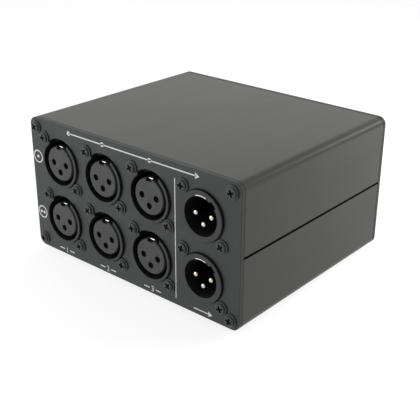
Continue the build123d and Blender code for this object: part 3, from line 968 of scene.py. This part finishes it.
@dataclass
class RearLegends(SubAssembly):
    """The print on the connector panel; places are in millimetres from the middle of its lower edge."""

    ink: float = 0.03
    columns: tuple[float, ...] = (-39.0, -13.0, 13.0)
    divider_place: float = 25.87
    divider_low: float = 3.0
    divider_high: float = 54.0
    divider_width: float = 0.37
    label_height: float = 2.3
    figure_height: float = 2.5
    dash: float = 3.0
    dash_gap: float = 1.7
    stroke: float = 0.5
    arrow_length: float = 7.4
    arrow_reach: float = 1.4
    signal_height: float = 57.6
    signal_ends: tuple[float, float] = (-33.0, 36.6)
    signal_dot: float = 0.95
    channel_place: float = -54.0
    channel_heights: tuple[float, float] = (42.5, 16.3)
    channel_radius: float = 2.9
    channel_dot: float = 0.65
    channel_dot_sides: int = 16
    channel_pitch: float = 1.95

    def column_numbers(self, sheet: FlatLayout) -> None:
        """Lays a number between two dashes under each pair of inputs.

        Args:
            sheet: the panel's layout.
        """
        for number, column in enumerate(self.columns, start=1):
            sheet.figures(str(number), column, self.label_height, self.figure_height)
            for side in (-1, 1):
                reach = side * (self.dash_gap + self.dash / 2)
                sheet.bar(column + reach, self.label_height, self.dash, self.stroke)

    def output_arrow(self, sheet: FlatLayout) -> None:
        """Lays an arrow under the pair of outputs.

        Args:
            sheet: the panel's layout.
        """
        column = middle("output_lower_shell").x / MM
        sheet.bar(column - self.arrow_reach / 2, self.label_height, self.arrow_length, self.stroke)
        sheet.arrowhead(column + self.arrow_length / 2, self.label_height, self.arrow_reach, 0.0)

    def signal_line(self, sheet: FlatLayout) -> None:
        """Lays the line that leads from the inputs to the output.

        Args:
            sheet: the panel's layout.
        """
        left, right = self.signal_ends
        sheet.bar((left + right) / 2, self.signal_height, right - left, self.stroke)
        for column in self.columns:
            sheet.dot(max(column, left), self.signal_height, self.signal_dot)
        sheet.arrowhead(right, self.signal_height, self.arrow_reach, 0.0)

    def channel_marks(self, sheet: FlatLayout) -> None:
        """Lays a ring for each row, with one dot for the upper and two for the lower.

        Args:
            sheet: the panel's layout.
        """
        for count, height in enumerate(self.channel_heights, start=1):
            sheet.ring(self.channel_place, height, self.channel_radius, self.stroke)
            for index in range(count):
                shift = (index - (count - 1) / 2) * self.channel_pitch
                sheet.dot(self.channel_place + shift, height, self.channel_dot, self.channel_dot_sides)

    def build(self) -> None:
        """Prints the panel."""
        sheet = FlatLayout()
        sheet.bar(self.divider_place, (self.divider_low + self.divider_high) / 2, self.divider_width,
                  self.divider_high - self.divider_low)
        self.column_numbers(sheet)
        self.output_arrow(sheet)
        self.signal_line(sheet)
        self.channel_marks(sheet)
        low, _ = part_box(Face.REAR.value)
        shape = sheet.raised(self.ink, Face.REAR.place(0.0, low.z))
        finish_piece("rear_print", shape, Slot.WHITE_INLAY, Body.CASE)


@dataclass
class FrontLegends(SubAssembly):
    """The print round the knob; places are in millimetres from the knob's axis."""

    ink: float = 0.03
    positions: tuple[int, ...] = (1, 2, 3)
    upright: int = 2
    step: float = 30.0
    tick_radius: float = 18.4
    tick_length: float = 2.6
    tick_width: float = 0.5
    figure_radius: float = 22.6
    figure_height: float = 3.0

    def build(self) -> None:
        """Prints a tick and a number at each position."""
        sheet = FlatLayout()
        for number in self.positions:
            angle = math.radians((number - self.upright) * self.step)
            x, y = math.sin(angle), math.cos(angle)
            sheet.figures(str(number), self.figure_radius * x, self.figure_radius * y, self.figure_height)
            tick = FlatLayout()
            tick.bar(0.0, self.tick_radius, self.tick_width, self.tick_length)
            join(sheet.shape, tick.shape, Matrix.Rotation(-angle, 4, "Z"))
        axis = middle("knob")
        shape = sheet.raised(self.ink, Face.FRONT.place(axis.x, axis.z))
        finish_piece("front_print", shape, Slot.WHITE_INLAY, Body.CASE)


@dataclass
class InputSocket(SubAssembly):
    """A three-pole socket; the numbers of its poles are moulded on the core."""

    number: int
    row: Row
    pole_radius: float = 3.81
    figure_height: float = 1.15
    figure_stand: float = 0.07
    side_drop: float = 2.25
    low_lift: float = 2.2

    @property
    def stem(self) -> str:
        """The start of its nodes' names."""
        return f"input_{self.number}_{self.row.value}"

    def build(self) -> None:
        """Moulds the pole numbers on the core."""
        sheet = FlatLayout()
        sheet.figures("2", -self.pole_radius, -self.side_drop, self.figure_height)
        sheet.figures("1", self.pole_radius, -self.side_drop, self.figure_height)
        sheet.figures("3", 0.0, self.low_lift - self.pole_radius, self.figure_height)
        low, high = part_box(f"{self.stem}_core")
        height = middle(f"{self.stem}_shell").z
        place = Face.REAR.place((low.x + high.x) / 2, height, Face.REAR.plane() - low.y)
        shape = sheet.raised(self.figure_stand, place)
        finish_piece(f"{self.stem}_pole_numbers", shape, Slot.CONNECTOR_CORE, Body.CASE)

    def dress(self) -> None:
        """Finishes the shell, core, contacts and latch."""
        dress_nodes(Slot.CONNECTOR_SHELL, f"{self.stem}_shell")
        dress_nodes(Slot.CONNECTOR_CORE, f"{self.stem}_core")
        # The contacts take the gold that is darkened as painted shade.
        dress_nodes(Slot.CONTACT_GOLD, f"{self.stem}_contacts", finish=PAINTED_SHADE_GOLD)
        dress_nodes(Slot.CONTACT_SILVER, f"{self.stem}_latch")


@dataclass
class OutputPlug(SubAssembly):
    """A three-pole plug behind the panel, which shows as it is in the CAD model."""

    row: Row

    def dress(self) -> None:
        """Finishes the shell, disc, pins and ground spring."""
        stem = f"output_{self.row.value}"
        dress_nodes(Slot.CONNECTOR_SHELL, f"{stem}_shell")
        dress_nodes(Slot.CONNECTOR_CORE, f"{stem}_core")
        dress_nodes(Slot.CONTACT_GOLD, f"{stem}_pins")
        dress_nodes(Slot.CONTACT_SILVER, f"{stem}_ground_spring")


@dataclass
class SelectorKnob(SubAssembly):
    """The knob with its pointer and set screw, and the nut and washer under it."""

    def dress(self) -> None:
        """Finishes the knob and what holds it."""
        dress_nodes(Slot.KNOB_BLACK, "knob")
        dress_nodes(Slot.WHITE_INLAY, "knob_pointer")
        dress_nodes(Slot.BLACK_SCREW, "knob_set_screw")
        dress_nodes(Slot.BRIGHT_STEEL, "switch_bushing", "bushing_nut", "lock_washer", "switch_shaft",
                    "stop_ring")


@dataclass
class Internals(SubAssembly):
    """The boards, cables and rotary switch inside the case."""

    def dress(self) -> None:
        """Finishes what the case hides."""
        dress_nodes(Slot.CIRCUIT_BOARD, "connector_board", "selector_board")
        dress_nodes(Slot.HEADER_PLASTIC, "box_headers", "ribbon_plugs")
        dress_nodes(Slot.RIBBON, "ribbon_cables")
        dress_nodes(Slot.SWITCH_PLASTIC, "switch_case", "switch_stator", "switch_rotor")
        dress_nodes(Slot.CONTACT_SILVER, "switch_terminals", "rotor_wipers")
        dress_nodes(Slot.BRIGHT_STEEL, "detent_spring", "detent_ball")


@dataclass(frozen=True)
class Softbox:
    """A square lamp that faces a point; one that isn't mirrored gives light but no highlight."""

    name: str
    place: Triple
    target: Triple
    width: float
    power: float
    mirrored: bool = True

    def build(self) -> None:
        """Makes the lamp."""
        lamp = bpy.data.lights.new(self.name, "AREA")
        lamp.shape = "SQUARE"
        lamp.size = self.width
        lamp.energy = self.power
        holder = bpy.data.objects.new(self.name, lamp)
        aim = Vector(self.target) - Vector(self.place)
        holder.matrix_world = Matrix.Translation(self.place) @ aim.to_track_quat("-Z", "Y").to_matrix().to_4x4()
        holder.visible_glossy = self.mirrored
        bpy.context.scene.collection.objects.link(holder)
        LOG.info("lit %s at %.1f W", self.name, self.power)


@dataclass(frozen=True)
class Viewpoint:
    """Where the camera stands, and how it is turned; angles are in degrees."""

    place: Triple = (0.217896, -0.262562, 0.172205)
    azimuth: float = 40.318
    elevation: float = 24.563
    roll: float = 0.359
    lens: float = 70.843
    sensor: float = 36.0
    near_limit: float = 0.01

    def build(self) -> None:
        """Makes the camera and looks through it."""
        lens = bpy.data.cameras.new("camera")
        lens.lens = self.lens
        lens.sensor_width = self.sensor
        lens.clip_start = self.near_limit
        camera = bpy.data.objects.new("camera", lens)
        around = Matrix.Rotation(math.radians(self.azimuth), 4, "Z")
        down = Matrix.Rotation(math.pi / 2 - math.radians(self.elevation), 4, "X")
        tilt = Matrix.Rotation(math.radians(self.roll), 4, "Z")
        camera.matrix_world = Matrix.Translation(self.place) @ around @ down @ tilt
        bpy.context.scene.collection.objects.link(camera)
        bpy.context.scene.camera = camera


@dataclass
class Studio:
    """A pale floor, a white surround, soft lamps and the camera."""

    floor_width: float = 8.0
    floor_cells: int = 8
    floor_tone: float = 0.8
    shown_white: float = 0.8
    shadow_tone: float = 0.34
    surround: float = 0.34
    lamps: tuple[Softbox, ...] = (
        Softbox("top_box", (-0.35, 0.35, 1.0), (0.0, 0.0, 0.03), 0.8, 2.0),
        Softbox("left_box", (-0.16, -0.32, 0.12), (-0.02, -0.056, 0.03), 0.3, 0.6),
        Softbox("far_box", (0.25, 0.34, 0.12), (0.11, 0.12, 0.0), 0.35, 2.6, False),
        Softbox("edge_box", (0.2, 0.345, 0.195), (0.055, 0.0, 0.058), 0.1, 0.13),
    )
    viewpoint: Viewpoint = field(default_factory=Viewpoint)

    def split_rays(self, sheet: NodeSheet, lighting: Socket, shown: Socket, output: str) -> None:
        """Tells the rays that show the background from those that light the object.

        Args:
            sheet: the nodes of the floor or the world.
            lighting: shader for the rays that light.
            shown: shader for camera, glossy and transmission rays.
            output: type name of the node that takes the result.
        """
        path = sheet.add("ShaderNodeLightPath")
        seen = path.outputs["Is Camera Ray"]
        for name in ("Is Glossy Ray", "Is Transmission Ray"):
            seen = sheet.maths("MAXIMUM", seen, path.outputs[name])
        pick = sheet.add("ShaderNodeMixShader")
        for source, target in zip((seen, lighting, shown), pick.inputs):
            sheet.link(source, target)
        sheet.link(pick.outputs["Shader"], sheet.add(output).inputs["Surface"])

    def floor_material(self) -> Material:
        """Makes a floor that looks white and keeps a pale shadow.

        Returns:
            The floor's material.
        """
        material = bpy.data.materials.new("studio_floor")
        sheet = NodeSheet(material)
        sheet.tree.nodes.clear()
        paper, shadow = (sheet.add("ShaderNodeBsdfDiffuse", {"Color": (tone, tone, tone, 1.0)})
                         for tone in (self.floor_tone, self.shadow_tone))
        white = sheet.add("ShaderNodeEmission", {"Strength": self.shown_white})
        shown = sheet.add("ShaderNodeAddShader")
        sheet.link(shadow.outputs["BSDF"], shown.inputs[0])
        sheet.link(white.outputs["Emission"], shown.inputs[1])
        self.split_rays(sheet, paper.outputs["BSDF"], shown.outputs["Shader"], "ShaderNodeOutputMaterial")
        return material

    def build_floor(self) -> None:
        """Lays the floor that the feet stand on."""
        shape = bmesh.new()
        bmesh.ops.create_grid(shape, x_segments=self.floor_cells, y_segments=self.floor_cells,
                              size=self.floor_width / 2)
        mesh = bpy.data.meshes.new("floor")
        shape.to_mesh(mesh)
        shape.free()
        mesh.materials.append(self.floor_material())
        floor = bpy.data.objects.new("floor", mesh)
        bpy.context.scene.collection.objects.link(floor)

    def build_surround(self) -> None:
        """Makes the world white where it is seen and soft grey where it lights."""
        world = bpy.data.worlds.new("studio")
        sheet = NodeSheet(world)
        sheet.tree.nodes.clear()
        soft, white = (sheet.add("ShaderNodeBackground", {"Color": (1.0, 1.0, 1.0, 1.0), "Strength": strength})
                       for strength in (self.surround, 1.0))
        self.split_rays(sheet, soft.outputs["Background"], white.outputs["Background"], "ShaderNodeOutputWorld")
        bpy.context.scene.world = world

    def build(self) -> None:
        """Sets up the whole studio."""
        bpy.context.scene.view_settings.view_transform = "Standard"
        self.build_floor()
        self.build_surround()
        for lamp in self.lamps:
            lamp.build()
        self.viewpoint.build()


def main() -> None:
    """Builds the studio and every sub-assembly."""
    logging.basicConfig(level=logging.INFO, format="%(message)s")
    Studio().build()
    inputs = [InputSocket(number, row) for row in Row for number in (1, 2, 3)]
    outputs = [OutputPlug(row) for row in Row]
    assemblies: list[SubAssembly] = [Case(), RearLegends(), FrontLegends(), Fasteners(), Feet(), *inputs,
                                     *outputs, SelectorKnob(), Internals()]
    for assembly in assemblies:
        assembly.build()
        assembly.dress()


if __name__ == "__main__":
    main()
